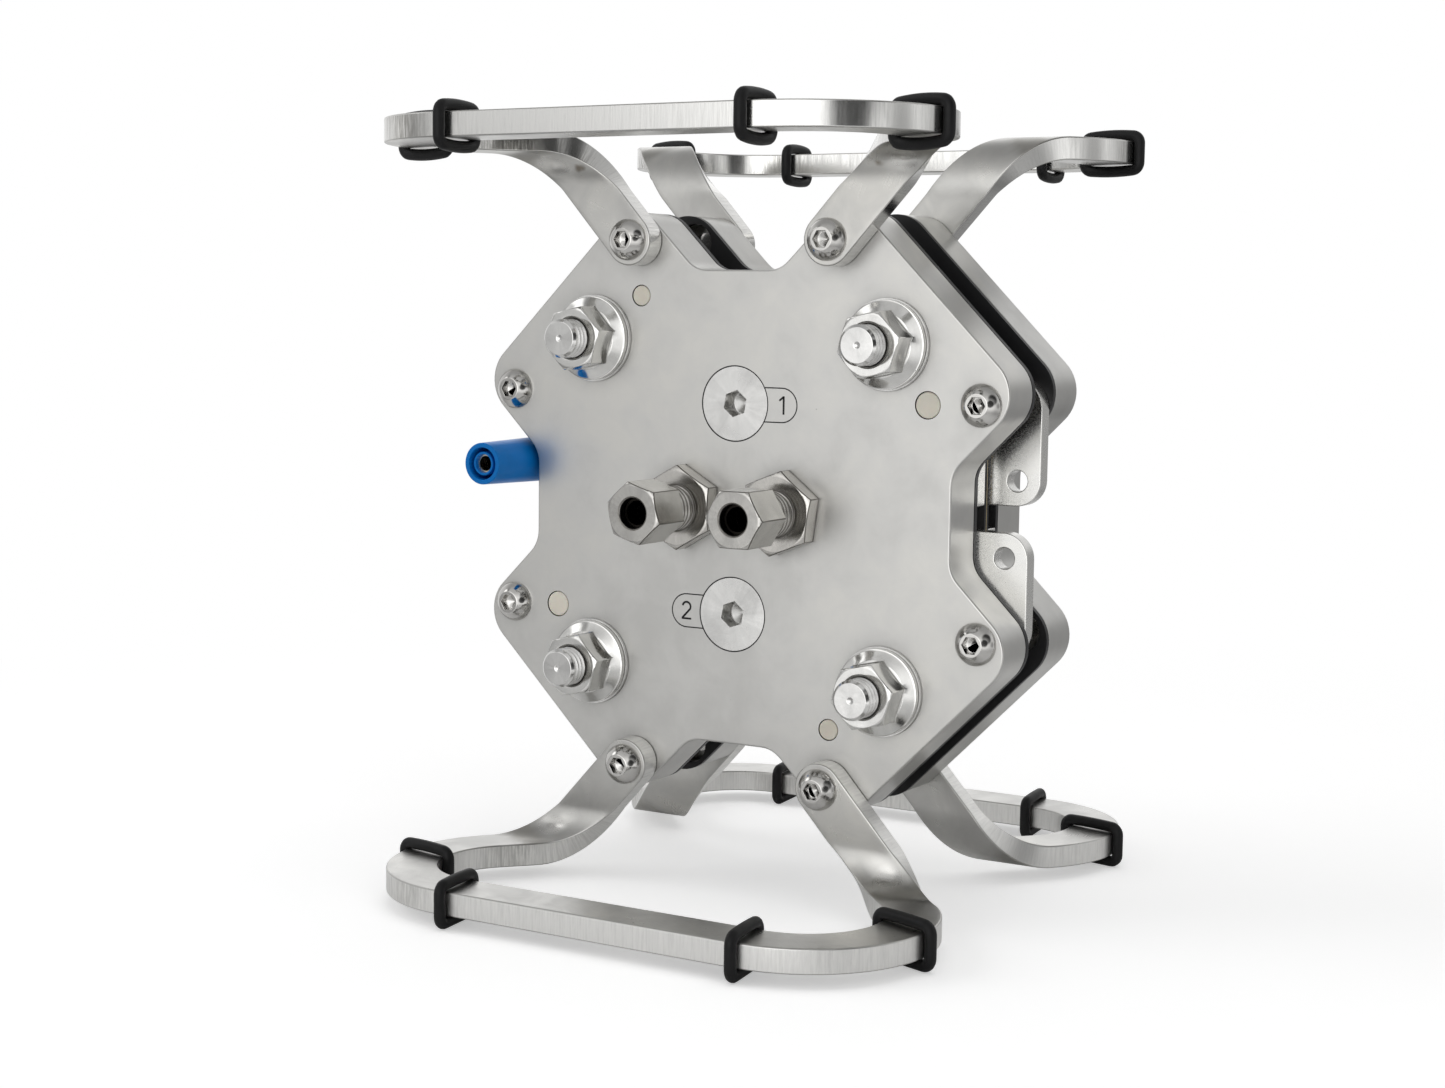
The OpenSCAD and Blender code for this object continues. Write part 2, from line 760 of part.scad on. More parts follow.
// Metal contact inside: a sleeve, a flange on the ear and a threaded stud through it
module contact() {
    stud = electrode_t + socket_nut_t + 1;
    difference() {
        union() {
            cylinder(d = contact_d, h = socket_l - 1.8);
            cylinder(d = contact_flange_d, h = contact_flange_t);
            translate([0, 0, -stud]) cylinder(d = stud_d, h = stud + 0.1);
        }
        translate([0, 0, bore_from]) cylinder(d = socket_bore, h = socket_l);
        translate([0, 0, bore_from - 1.1]) cylinder(d1 = 0.5, d2 = socket_bore, h = 1.101);
    }
}

blue_at = [-tab_at.x, tab_at.y];
red_at = [-tab_at.x, -tab_at.y];

module blue_socket_shroud() {
    color([0.05, 0.15, 0.75]) on_front(blue_at, y2) shroud();
}

module blue_socket_contact() {
    color([0.8, 0.75, 0.55]) on_front(blue_at, y2) contact();
}

module red_socket_shroud() {
    color([0.75, 0.06, 0.06]) on_rear(red_at, -y2) shroud();
}

module red_socket_contact() {
    color([0.8, 0.75, 0.55]) on_rear(red_at, -y2) contact();
}

module socket_nut() {
    translate([0, 0, -electrode_t - socket_nut_t]) difference() {
        hex_head(socket_nut_af, socket_nut_t, 0.4);
        translate([0, 0, -e]) cylinder(d = stud_d + 0.06, h = socket_nut_t + 2 * e);
    }
}

module socket_nuts() {
    color([0.7, 0.7, 0.68]) {
        on_front(blue_at, y2) socket_nut();
        on_rear(red_at, -y2) socket_nut();
    }
}

front_end_plate();
rear_end_plate();
front_insulating_sheet();
rear_insulating_sheet();
front_electrode_plate();
rear_electrode_plate();
front_gasket_frame();
rear_gasket_frame();
front_transport_layer();
rear_transport_layer();
membrane();
tie_bolts();
flange_nuts();
tie_washers();
bolt_sleeves();
front_top_bracket();
front_bottom_bracket();
rear_top_bracket();
rear_bottom_bracket();
bracket_screws();
side_screws();
small_pins();
large_pins();
port_plugs();
fitting_bodies();
fitting_nuts();
fitting_ferrules();
front_top_o_rings();
front_bottom_o_rings();
rear_top_o_rings();
rear_bottom_o_rings();
blue_socket_shroud();
blue_socket_contact();
red_socket_shroud();
red_socket_contact();
socket_nuts();
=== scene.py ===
import bmesh
import bpy
import math
import random
from mathutils import Matrix, Vector

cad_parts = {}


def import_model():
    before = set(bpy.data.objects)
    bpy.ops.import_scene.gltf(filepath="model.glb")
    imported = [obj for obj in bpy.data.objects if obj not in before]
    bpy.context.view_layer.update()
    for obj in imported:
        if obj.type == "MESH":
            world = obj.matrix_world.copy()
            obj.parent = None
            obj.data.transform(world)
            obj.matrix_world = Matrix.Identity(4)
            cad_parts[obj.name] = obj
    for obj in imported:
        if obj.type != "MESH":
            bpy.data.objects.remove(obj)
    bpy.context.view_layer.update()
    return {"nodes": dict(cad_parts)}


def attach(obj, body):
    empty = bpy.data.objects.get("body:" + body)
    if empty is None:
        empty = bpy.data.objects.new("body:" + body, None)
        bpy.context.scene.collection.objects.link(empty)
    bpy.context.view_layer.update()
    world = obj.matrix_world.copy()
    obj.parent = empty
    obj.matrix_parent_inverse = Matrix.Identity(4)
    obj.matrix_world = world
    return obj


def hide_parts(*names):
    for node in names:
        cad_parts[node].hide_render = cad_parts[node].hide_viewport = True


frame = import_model()
MM = 0.001

# Sizes that the pieces made here share with the solids, in millimetres

# Height of the cell's axis, and the front face of the front end plate
AXIS = 99.3
FRONT = -21.2
# Offsets from the axis: screws, tie bolts, port plugs, tube fittings and pins
SCREW_IN = 28.7
SCREW_OUT = 67.9
BOLT_AT = 42.65
PLUG_AT = 26.9
FITTING_AT = 14.4
PIN_NEAR = 28.3
PIN_FAR = 53.8
# Bracket strip: width, thickness, inner radius of the bend and slant of the arms
STRIP_W = 13.0
STRIP_T = 6.0
BEND_R = 9.0
ARM = math.radians(42.2)
# Bracket loop in the flat: corner radius, distance of the bar, start and end of the bend
CORNER_R = 26.1
BAR_AT = 79.1
BEND_FROM = 13.0
BEND_MID = BEND_R + STRIP_T / 2
BEND_TO = BEND_FROM + math.pi / 2 * BEND_MID
# Centre of a corner, length of an arm and length of the whole strip
LOOP_C = BAR_AT - CORNER_R
LOOP_X = SCREW_IN + (LOOP_C * math.sin(ARM) - CORNER_R) / math.cos(ARM)
ARM_LENGTH = (LOOP_C - CORNER_R * math.sin(ARM)) / math.cos(ARM)
CORNER_SWEEP = math.pi / 2 + ARM
STRIP_LENGTH = 2 * (ARM_LENGTH + CORNER_R * CORNER_SWEEP + LOOP_X)
# Cord of the O-rings, and height of the lower strips above the floor
CORD = 2.9
FLOOR_GAP = AXIS - SCREW_OUT - BEND_FROM - BEND_R - STRIP_T
# Edges of a bracket strip: radius, points on each round and columns across each face
EDGE_R = 0.4
EDGE_STEPS = 3
ACROSS = 12


# Shader helpers

class Tree:
    """A short way to build the nodes of a material or a world."""

    def __init__(self, tree, output):
        self.tree = tree
        self.tree.nodes.clear()
        self.out = self.new(output)

    def new(self, kind, **props):
        node = self.tree.nodes.new("ShaderNode" + kind)
        for key, value in props.items():
            setattr(node, key, value)
        return node

    def put(self, node, socket, value):
        """Links another node's socket, or sets a number, colour or vector."""
        target = node.inputs[socket]
        if isinstance(value, bpy.types.NodeSocket):
            self.tree.links.new(value, target)
        else:
            target.default_value = value

    def coord(self):
        """Object coordinates, which are the part's own frame in metres."""
        return self.new("TexCoord").outputs["Object"]

    def uv(self):
        """The UV map of a bracket, which is the length along and round its strip in metres."""
        return self.new("UVMap", uv_map="UV").outputs[0]

    def shifted(self, seed):
        """Object coordinates moved by a seed, so that pieces of one kind of steel differ."""
        return self.vector("ADD", self.coord(), (seed, seed * 0.7, seed * 1.3))

    def turned(self, cx, cz):
        """Polar layout round the nearest of mirrored axes along Y: radius, angle and tangent."""
        x, _, z = self.split(self.coord())[:3]
        z = self.calc("SUBTRACT", z, AXIS * MM)
        dx = self.calc("SUBTRACT", x, self.calc("MULTIPLY", self.calc("SIGN", x), cx * MM))
        dz = self.calc("SUBTRACT", z, self.calc("MULTIPLY", self.calc("SIGN", z), cz * MM))
        radius = self.vector("LENGTH", self.join(dx, 0.0, dz))
        angle = self.calc("ARCTAN2", dz, dx)
        return radius, angle, self.join(dz, 0.0, self.calc("MULTIPLY", dx, -1.0))

    def noise(self, vec, scale, detail=3, rough=0.55, distort=0.0):
        node = self.new("TexNoise")
        self.put(node, "Vector", vec)
        self.put(node, "Scale", scale)
        self.put(node, "Detail", detail)
        self.put(node, "Roughness", rough)
        self.put(node, "Distortion", distort)
        return node.outputs["Fac"]

    def remap(self, value, low, high, to_low, to_high, smooth=False):
        node = self.new("MapRange")
        if smooth:
            node.interpolation_type = "SMOOTHSTEP"
        self.put(node, "Value", value)
        self.put(node, "From Min", low)
        self.put(node, "From Max", high)
        self.put(node, "To Min", to_low)
        self.put(node, "To Max", to_high)
        return node.outputs[0]

    def calc(self, operation, a, b=0.0):
        node = self.new("Math", operation=operation)
        self.put(node, 0, a)
        self.put(node, 1, b)
        return node.outputs[0]

    def vector(self, operation, a, b=(0, 0, 0)):
        node = self.new("VectorMath", operation=operation)
        self.put(node, 0, a)
        self.put(node, 1, b)
        return node.outputs["Value" if operation in ("LENGTH", "DOT_PRODUCT", "DISTANCE") else "Vector"]

    def split(self, vec):
        node = self.new("SeparateXYZ")
        self.put(node, 0, vec)
        return node.outputs

    def join(self, x, y, z):
        node = self.new("CombineXYZ")
        for i, value in enumerate((x, y, z)):
            self.put(node, i, value)
        return node.outputs[0]

    def ramp(self, value, stops):
        node = self.new("ValToRGB")
        self.put(node, "Fac", value)
        elements = node.color_ramp.elements
        while len(elements) < len(stops):
            elements.new(0.5)
        for element, (position, color) in zip(elements, stops):
            element.position = position
            element.color = (*color, 1)
        return node.outputs[0]

    def mix(self, factor, a, b):
        """Mixes two colours."""
        node = self.new("Mix", data_type="RGBA")
        self.put(node, 0, factor)
        for socket, value in ((6, a), (7, b)):
            self.put(node, socket, (*value, 1) if isinstance(value, tuple) else value)
        return node.outputs[2]

    def mix_value(self, factor, a, b):
        node = self.new("Mix", data_type="FLOAT")
        self.put(node, 0, factor)
        self.put(node, 2, a)
        self.put(node, 3, b)
        return node.outputs[0]

    def mix_shader(self, factor, a, b):
        node = self.new("MixShader")
        self.put(node, 0, factor)
        self.put(node, 1, a.outputs[0])
        self.put(node, 2, b.outputs[0])
        return node

    def bump(self, height, dist, strength=1.0):
        node = self.new("Bump")
        self.put(node, "Height", height)
        self.put(node, "Distance", dist)
        self.put(node, "Strength", strength)
        return node.outputs[0]

    def occlusion(self, reach, samples):
        node = self.new("AmbientOcclusion", samples=samples)
        self.put(node, "Distance", reach * MM)
        return node.outputs["AO"]


class Surface(Tree):
    """A material with one Principled shader."""

    SOCKETS = {"color": "Base Color", "rough": "Roughness", "metal": "Metallic",
               "spec": "Specular IOR Level", "normal": "Normal", "aniso": "Anisotropic",
               "tangent": "Tangent", "sss": "Subsurface Weight", "sss_scale": "Subsurface Scale"}

    def __init__(self, name):
        self.mat = bpy.data.materials.new(name)
        self.mat.use_nodes = True
        super().__init__(self.mat.node_tree, "OutputMaterial")
        self.bsdf = self.new("BsdfPrincipled")
        self.put(self.out, 0, self.bsdf.outputs[0])

    def set(self, **values):
        for key, value in values.items():
            self.put(self.bsdf, self.SOCKETS[key], value)
        return self.mat


def scaled(tone, factor):
    return tuple(min(1, c * factor) for c in tone)


# Materials

def steel(name, tone, rough, smudge, patch, seed=0.0, specks=0.0, grime_and_shade=0.0, grain=0.35):
    """Satin metal: fine grain, cloudy patches of roughness and a faint drift of colour."""
    n = Surface(name)
    v = n.shifted(seed)
    big = n.noise(v, patch, 3, 0.5, 0.6)
    mid = n.noise(v, patch * 6, 4, 0.6, 0.3)
    fine = n.noise(v, 2000, 2, 0.5)
    cloud = n.calc("ADD", n.calc("MULTIPLY", big, 0.6), n.calc("MULTIPLY", mid, 0.4))
    high = scaled(tone, 1 + smudge * 0.7)
    warm = (high[0], high[1] - 0.003, high[2] - 0.012)
    color = n.ramp(cloud, [(0.38, scaled(tone, 1 - smudge)), (0.5, tone), (0.62, warm)])
    if specks:
        cell = n.new("TexVoronoi")
        n.put(cell, "Vector", v)
        n.put(cell, "Scale", 170)
        near = n.remap(cell.outputs["Distance"], 0.03, 0.055, 1.0, 0.0)
        some = n.calc("GREATER_THAN", n.split(cell.outputs["Color"])[0], 0.93)
        dots = n.calc("MULTIPLY", n.calc("MULTIPLY", near, some), specks)
        color = n.mix(dots, color, scaled(tone, 0.45))
    if grime_and_shade:
        # Painted shade mixed with dirt: the colour darkens in patches where occlusion finds corners and
        # recesses, such as round the nuts
        corner = n.remap(n.occlusion(5, 5), 0.45, 0.95, grime_and_shade, 0.0)
        dark = n.calc("MULTIPLY", corner, n.remap(mid, 0.3, 0.7, 1.0, 0.6))
        color = n.mix(dark, color, scaled(tone, 0.3))
    drift = n.remap(cloud, 0.3, 0.7, rough * 1.15, rough * 0.88)
    rough_now = n.calc("ADD", drift, n.remap(fine, 0.3, 0.7, -0.02, 0.02))
    return n.set(color=color, metal=1.0, rough=rough_now, normal=n.bump(fine, 0.006 * MM, grain))


def bright(name, tone, rough, seed, marks=0.5, axis=None, grime_and_shade=0.0, rings=0.0, wedge_sheen=0.0, bore_shade=None,
           depth=(0.055, 0.048, 0.040)):
    """Bright steel with handling marks. axis gives turning marks on the faces across Y, wedge_sheen the
    strength of dark sectors painted on those faces as their reflection, grime_and_shade the share of the
    colour depth painted into recesses as shade with some dirt, and bore_shade the radius and reach of a tube
    hole painted near-black as its shade."""
    n = Surface(name)
    v = n.shifted(seed)
    big = n.noise(v, 130, 4, 0.6, 0.5)
    fine = n.noise(v, 1100, 3, 0.6)
    color = n.ramp(big, [(0.3, scaled(tone, 0.86)), (0.52, tone), (0.75, scaled(tone, 1.1))])
    rough_now = n.remap(big, 0.3, 0.7, rough * 1.4, rough * 0.75)
    height = n.calc("MULTIPLY", fine, 0.012 * marks)
    if axis:
        radius, angle, tangent = n.turned(*axis)
        along = n.join(n.calc("MULTIPLY", radius, 5200), n.calc("MULTIPLY", angle, 0.5), seed)
        groove = n.noise(along, 1.0, 2, 0.6)
        height = n.calc("ADD", height, n.calc("MULTIPLY", groove, 0.012 * rings))
        facing = n.split(n.new("NewGeometry").outputs["True Normal"])[1]
        face = n.calc("GREATER_THAN", n.calc("ABSOLUTE", facing), 0.8)
        # Painted reflection: dark sectors on the turned faces stand for their wedge-shaped sheen
        wedge = n.noise(n.join(n.calc("COSINE", angle), n.calc("SINE", angle), seed), 2.2, 3, 0.7)
        shadow = n.calc("MULTIPLY", n.remap(wedge, 0.35, 0.65, 0.0, wedge_sheen), face)
        color = n.mix(shadow, color, scaled(tone, 0.7))
        n.set(aniso=n.calc("MULTIPLY", face, 0.75), tangent=tangent)
    if bore_shade:
        # Painted shade: the inside of the tube hole is coloured near-black
        deep = n.calc("LESS_THAN", n.calc("ABSOLUTE", n.split(n.coord())[1]), bore_shade[1] * MM)
        inside = n.calc("MULTIPLY", n.calc("LESS_THAN", radius, bore_shade[0] * MM), deep)
        color = n.mix(inside, color, (0.012, 0.011, 0.010))
        rough_now = n.mix_value(inside, rough_now, 0.45)
    if grime_and_shade:
        # Painted shade mixed with dirt: where occlusion finds a recess, the colour goes towards the depth
        # colour and the surface grows rougher
        recess = n.occlusion(2.2, 6)
        dark = n.remap(recess, 0.25, 0.85, grime_and_shade, 0.0)
        color = n.mix(n.calc("MULTIPLY", dark, n.remap(big, 0.3, 0.6, 1.0, 0.7)), color, depth)
        rough_now = n.calc("ADD", rough_now, n.remap(recess, 0.4, 0.9, 0.3, 0.0))
    return n.set(color=color, metal=1.0, rough=rough_now, normal=n.bump(height, MM, 0.5))


def strip_steel():
    """Bracket strip: satin faces with a press dent at each bend, a painted highlight and a painted dark
    crescent of shade by it, and a dark brown spot on the upper brackets;
    laser-cut narrow edges, which are shinier on the upper brackets and carry dark patches, partly scorch and
    partly painted reflection, stronger there."""
    n = Surface("bracket_steel_look")
    u, v = n.split(n.uv())[:2]
    edge = n.new("Attribute", attribute_name="edge", attribute_type="GEOMETRY").outputs["Fac"]
    place = n.coord()
    upper = n.remap(n.split(place)[2], 0.10, 0.12, 0.0, 1.0)
    big = n.noise(place, 20, 3, 0.5, 0.6)
    mid = n.noise(place, 90, 4, 0.6, 0.5)
    fine = n.noise(place, 1800, 2, 0.5)
    slanted = n.calc("ADD", u, n.calc("MULTIPLY", v, 2.2))
    brush = n.noise(n.join(n.calc("MULTIPLY", slanted, 900), n.calc("MULTIPLY", v, 130), 0.0), 1.0, 3, 0.6)
    across = n.join(n.calc("MULTIPLY", u, 1500), n.calc("MULTIPLY", v, 110), 0.0)
    cut = n.noise(across, 1.0, 4, 0.68, 0.25)
    patches = n.join(n.calc("MULTIPLY", u, 34), n.calc("MULTIPLY", v, 18), 4.0)
    burn_and_reflection = n.remap(n.noise(patches, 1.0, 2, 0.5), 0.5, 0.68, 0.0, 1.0, True)
    # Distance along the strip from the nearer screw
    far = n.calc("MINIMUM", u, n.calc("SUBTRACT", STRIP_LENGTH * MM, u))

    def ragged(distance, wobble):
        return n.calc("ADD", distance, n.remap(mid, 0.3, 0.7, -wobble * MM, wobble * MM))

    def blot(at, stretch, wobble, inner, outer, most=1.0):
        """A soft spot round a point of the face, in millimetres along and round the strip."""
        along = n.calc("MULTIPLY", n.calc("SUBTRACT", far, at[0] * MM), stretch)
        away = n.vector("LENGTH", n.join(along, n.calc("SUBTRACT", v, at[1] * MM), 0.0))
        return n.remap(ragged(away, wobble), inner * MM, outer * MM, most, 0.0, True)

    dent = blot((30.5, 26.8), 1.0, 0.0, 0.8, 5.2)
    # Painted highlight by the dent, partly a bright press mark
    polish_and_highlight = blot((27.5, 26.2), 0.6, 1.2, 1.2, 4.2)
    # A dark brown spot by each bend, on the upper brackets only
    brown_spot = blot((24.5, 22.2), 1.3, 1.6, 0.6, 2.8, 0.75)
    # Painted shade: a dark crescent across the strip past each bend
    crescent_shade = n.remap(ragged(n.calc("ABSOLUTE", n.calc("SUBTRACT", far, 38.5 * MM)), 1.5),
                   1.5 * MM, 5.5 * MM, 1.0, 0.0, True)

    cloud = n.calc("ADD", n.calc("MULTIPLY", big, 0.55), n.calc("MULTIPLY", mid, 0.45))
    face_tone = n.ramp(cloud, [(0.38, (0.48, 0.475, 0.46)), (0.5, (0.55, 0.545, 0.525)),
                               (0.62, (0.62, 0.61, 0.58))])
    face_tone = n.mix(n.calc("MULTIPLY", crescent_shade, 0.8), face_tone, (0.34, 0.33, 0.305))
    face_tone = n.mix(n.calc("MULTIPLY", brown_spot, upper), face_tone, (0.16, 0.125, 0.085))
    face_tone = n.mix(n.calc("MULTIPLY", polish_and_highlight, 0.8), face_tone, (0.80, 0.79, 0.76))
    pale = n.ramp(cut, [(0.34, (0.76, 0.755, 0.735)), (0.5, (0.83, 0.825, 0.805)),
                        (0.66, (0.88, 0.875, 0.85))])
    burnt_and_reflected = n.ramp(cut, [(0.38, (0.13, 0.12, 0.105)), (0.5, (0.40, 0.39, 0.36)),
                         (0.6, (0.85, 0.84, 0.81))])
    # Dark patches on the cut edges, partly scorch and partly painted reflection, stronger on the upper
    # brackets
    edge_tone = n.mix(n.calc("MULTIPLY", burn_and_reflection, n.remap(upper, 0.0, 1.0, 0.3, 0.75)), pale, burnt_and_reflected)

    face_rough = n.calc("ADD", n.remap(mid, 0.3, 0.7, 0.36, 0.27), n.remap(brush, 0.3, 0.7, -0.03, 0.03))
    face_rough = n.mix_value(dent, face_rough, 0.2)
    edge_rough = n.mix_value(upper, n.remap(cut, 0.35, 0.7, 0.40, 0.30),
                             n.remap(cut, 0.35, 0.7, 0.22, 0.12))
    face_height = n.calc("ADD", n.calc("MULTIPLY", brush, 0.0035), n.calc("MULTIPLY", fine, 0.002))
    face_height = n.calc("SUBTRACT", face_height, n.calc("MULTIPLY", dent, 0.35))
    edge_relief = n.mix_value(upper, 0.005, n.remap(burn_and_reflection, 0.0, 1.0, 0.008, 0.03))
    height = n.mix_value(edge, face_height, n.calc("MULTIPLY", cut, edge_relief))
    return n.set(color=n.mix(edge, face_tone, edge_tone), metal=1.0,
                 rough=n.mix_value(edge, face_rough, edge_rough), normal=n.bump(height, MM, 0.8))


def rubber():
    n = Surface("ring_rubber_look")
    v = n.coord()
    cloud = n.noise(v, 160, 3, 0.6)
    grain = n.noise(v, 2400, 2, 0.6)
    return n.set(color=n.ramp(cloud, [(0.3, (0.006, 0.006, 0.0065)), (0.7, (0.012, 0.012, 0.0125))]),
                 rough=n.remap(cloud, 0.3, 0.7, 0.42, 0.55), spec=0.22,
                 normal=n.bump(grain, 0.02 * MM, 0.5))


def plastic(name, tone, rough=0.3, spec=0.5, grain=0.01, sss=0.0):
    n = Surface(name)
    v = n.coord()
    cloud = n.noise(v, 90, 3, 0.55)
    fine = n.noise(v, 1500, 2, 0.6)
    n.set(color=n.ramp(cloud, [(0.3, scaled(tone, 0.92)), (0.7, scaled(tone, 1.07))]), spec=spec,
          rough=n.remap(cloud, 0.3, 0.7, rough * 1.15, rough * 0.88), normal=n.bump(fine, grain * MM, 0.4))
    if sss:
        n.set(sss=sss, sss_scale=0.002)
    return n.mat


def felt(name, tone):
    n = Surface(name)
    fibre = n.noise(n.coord(), 1400, 4, 0.7)
    return n.set(color=n.ramp(fibre, [(0.35, scaled(tone, 0.6)), (0.65, tone)]), rough=0.85,
                 normal=n.bump(fibre, 0.05 * MM, 0.8))


BOLTS = (BOLT_AT, BOLT_AT)
PLUGS = (0.0, PLUG_AT)
FITTINGS = (FITTING_AT, 0.0)
# Tube holes of the fitting bodies and nuts, painted near-black as their shade: radius, and reach from the
# middle of the cell
BODY_BORE_SHADE = (3.9, 45.9)
NUT_BORE_SHADE = (3.9, 45.7)
# Pale colour painted into the screws' hex pockets: painted light that lifts their shade
POCKET_LIGHT = (0.93, 0.92, 0.90)
LOOKS = {
    "plate": steel("plate_steel_look", (0.59, 0.585, 0.567), 0.33, 0.09, 16, specks=0.8, grime_and_shade=0.55),
    "electrode": steel("electrode_look", (0.74, 0.735, 0.715), 0.26, 0.06, 30, 3.1, grain=0.02),
    "strip": strip_steel(),
    "bolt": bright("bolt_look", (0.75, 0.745, 0.73), 0.13, 1.0, 0.6, BOLTS, 0.6, rings=0.3, wedge_sheen=0.2),
    "nut": bright("nut_look", (0.73, 0.725, 0.705), 0.11, 2.0, 0.6, BOLTS, 0.5, rings=0.2, wedge_sheen=0.15),
    "washer": bright("washer_look", (0.74, 0.735, 0.72), 0.16, 3.0, 0.6, BOLTS, 0.5, rings=0.3, wedge_sheen=0.15),
    "screw": bright("screw_look", (0.60, 0.59, 0.57), 0.11, 4.0, 0.4, grime_and_shade=0.9, depth=POCKET_LIGHT),
    "plug": bright("plug_look", (0.72, 0.715, 0.70), 0.22, 5.0, 0.4, PLUGS, 0.7, rings=0.5, wedge_sheen=0.35),
    "fitting": bright("fitting_look", (0.56, 0.545, 0.515), 0.17, 6.0, 1.4, FITTINGS, 0.9,
                      rings=0.4, wedge_sheen=0.4, bore_shade=BODY_BORE_SHADE),
    "fitting_nut": bright("fitting_nut_look", (0.53, 0.52, 0.495), 0.17, 7.0, 1.2, FITTINGS, 0.9,
                          rings=0.6, wedge_sheen=0.5, bore_shade=NUT_BORE_SHADE),
    # Painted shade: the fittings' bevelled edges take a dark colour as outlines
    "fitting_edge_shade": bright("fitting_edge_look", (0.20, 0.19, 0.175), 0.34, 7.5, 0.8),
    "contact": bright("contact_look", (0.60, 0.56, 0.47), 0.24, 8.0),
    "sheet": plastic("sheet_black_look", (0.012, 0.012, 0.013), 0.42, 0.4, 0.02),
    "sleeve": plastic("sleeve_black_look", (0.014, 0.014, 0.015), 0.38, 0.4, 0.02),
    "gasket": plastic("gasket_look", (0.02, 0.02, 0.02), 0.6, 0.35, 0.03),
    "membrane": plastic("membrane_look", (0.70, 0.55, 0.28), 0.2),
    "pin": plastic("pin_cream_look", (0.97, 0.885, 0.765), 0.5, 0.4, 0.03, 0.1),
    "blue": plastic("blue_look", (0.002, 0.20, 0.64), 0.34, 0.18, 0.01, 0.03),
    "red": plastic("red_look", (0.50, 0.012, 0.012), 0.28, 0.5, 0.01, 0.05),
    "line": plastic("engraved_line_and_gap_shade_look", (0.015, 0.015, 0.016), 0.6, 0.3),
    "felt": felt("felt_grey_look", (0.35, 0.35, 0.35)),
    "felt_dark": felt("felt_black_look", (0.06, 0.06, 0.06)),
    "ring": rubber(),
}


# Mesh helpers

# Edges under this angle are shaded smooth
SMOOTH = math.radians(50)
# Broken edges: points closer than WELD metres are joined, faces that differ by less than FLAT
# become one, and edges sharper than SHARP are broken
WELD = 2e-6
FLAT = math.radians(0.4)
SHARP = math.radians(28)


def add_mesh(name, bm, mat, smooth=True):
    mesh = bpy.data.meshes.new(name)
    bm.normal_update()
    bm.to_mesh(mesh)
    bm.free()
    ob = bpy.data.objects.new(name, mesh)
    bpy.context.collection.objects.link(ob)
    mesh.materials.append(mat)
    for p in mesh.polygons:
        p.use_smooth = smooth
    return ob


def freeze(ob):
    """Applies the modifiers of an object to its mesh."""
    graph = bpy.context.evaluated_depsgraph_get()
    mesh = bpy.data.meshes.new_from_object(ob.evaluated_get(graph), preserve_all_data_layers=True,
                                           depsgraph=graph)
    old = ob.data
    ob.modifiers.clear()
    ob.data = mesh
    bpy.data.meshes.remove(old)


def shade(ob, big):
    """Smooth shading in which every flat of more than big square millimetres stays truly flat."""
    mesh = ob.data
    flat_area = big * MM * MM
    least = math.cos(SMOOTH)
    faces = [(p.normal.copy(), p.area) for p in mesh.polygons]
    around = [[] for _ in mesh.vertices]
    for p in mesh.polygons:
        for i in p.vertices:
            around[i].append(p.index)
    normals = [None] * len(mesh.loops)
    for p in mesh.polygons:
        own, area = faces[p.index]
        for corner in p.loop_indices:
            normal = own
            if area <= flat_area:
                beside = around[mesh.loops[corner].vertex_index]
                near = [faces[k] for k in beside if faces[k][0].dot(own) > least]
                flats = [face for face in near if face[1] > flat_area]
                if flats:
                    normal = max(flats, key=lambda face: face[1])[0]
                else:
                    normal = sum((face[0] * face[1] for face in near), Vector()).normalized()
            normals[corner] = normal
    mesh.normals_split_custom_set(normals)


def softened(node, width, look, big, weigh=None, segments=2, edge_look=None):
    """A copy of a node whose sharp edges are broken; weigh gives an edge's share of the width."""
    bm = bmesh.new()
    bm.from_mesh(frame["nodes"][node].data)
    bmesh.ops.remove_doubles(bm, verts=bm.verts, dist=WELD)
    bmesh.ops.dissolve_limit(bm, angle_limit=FLAT, use_dissolve_boundaries=False,
                             verts=bm.verts, edges=bm.edges)
    layer = bm.edges.layers.float.new("bevel_weight_edge")
    bm.normal_update()
    for e in bm.edges:
        if len(e.link_faces) == 2 and e.calc_face_angle(0) > SHARP:
            e[layer] = 1.0 if weigh is None else weigh((e.verts[0].co + e.verts[1].co) / 2 / MM)
    ob = add_mesh(node + "_look", bm, LOOKS[look])
    bevel = ob.modifiers.new("edges", "BEVEL")
    bevel.width = width * MM
    bevel.segments = segments
    bevel.limit_method = "WEIGHT"
    bevel.use_clamp_overlap = False
    if edge_look:
        ob.data.materials.append(LOOKS[edge_look])
        bevel.material = 1
    freeze(ob)
    shade(ob, big)
    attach(ob, "root")
    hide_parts(node)


# Brackets

def flat_to_space(x, s, c):
    """Flat pattern (x, s down from the screws, c through the thickness) to bracket space."""
    if s < BEND_FROM:
        return Vector((x, -STRIP_T + c, -s))
    if s > BEND_TO:
        return Vector((x, -STRIP_T - BEND_R - (s - BEND_TO), -BEND_FROM - BEND_R - c))
    a = (s - BEND_FROM) / BEND_MID
    r = BEND_R + c
    return Vector((x, -STRIP_T - BEND_R + r * math.cos(a), -BEND_FROM - r * math.sin(a)))


def to_world(v, front, bottom):
    """Bracket space to the part's frame, in metres."""
    y = FRONT + v.y if front else -FRONT - v.y
    z = AXIS - SCREW_OUT + v.z if bottom else AXIS + SCREW_OUT - v.z
    return Vector((v.x, y, z)) * MM


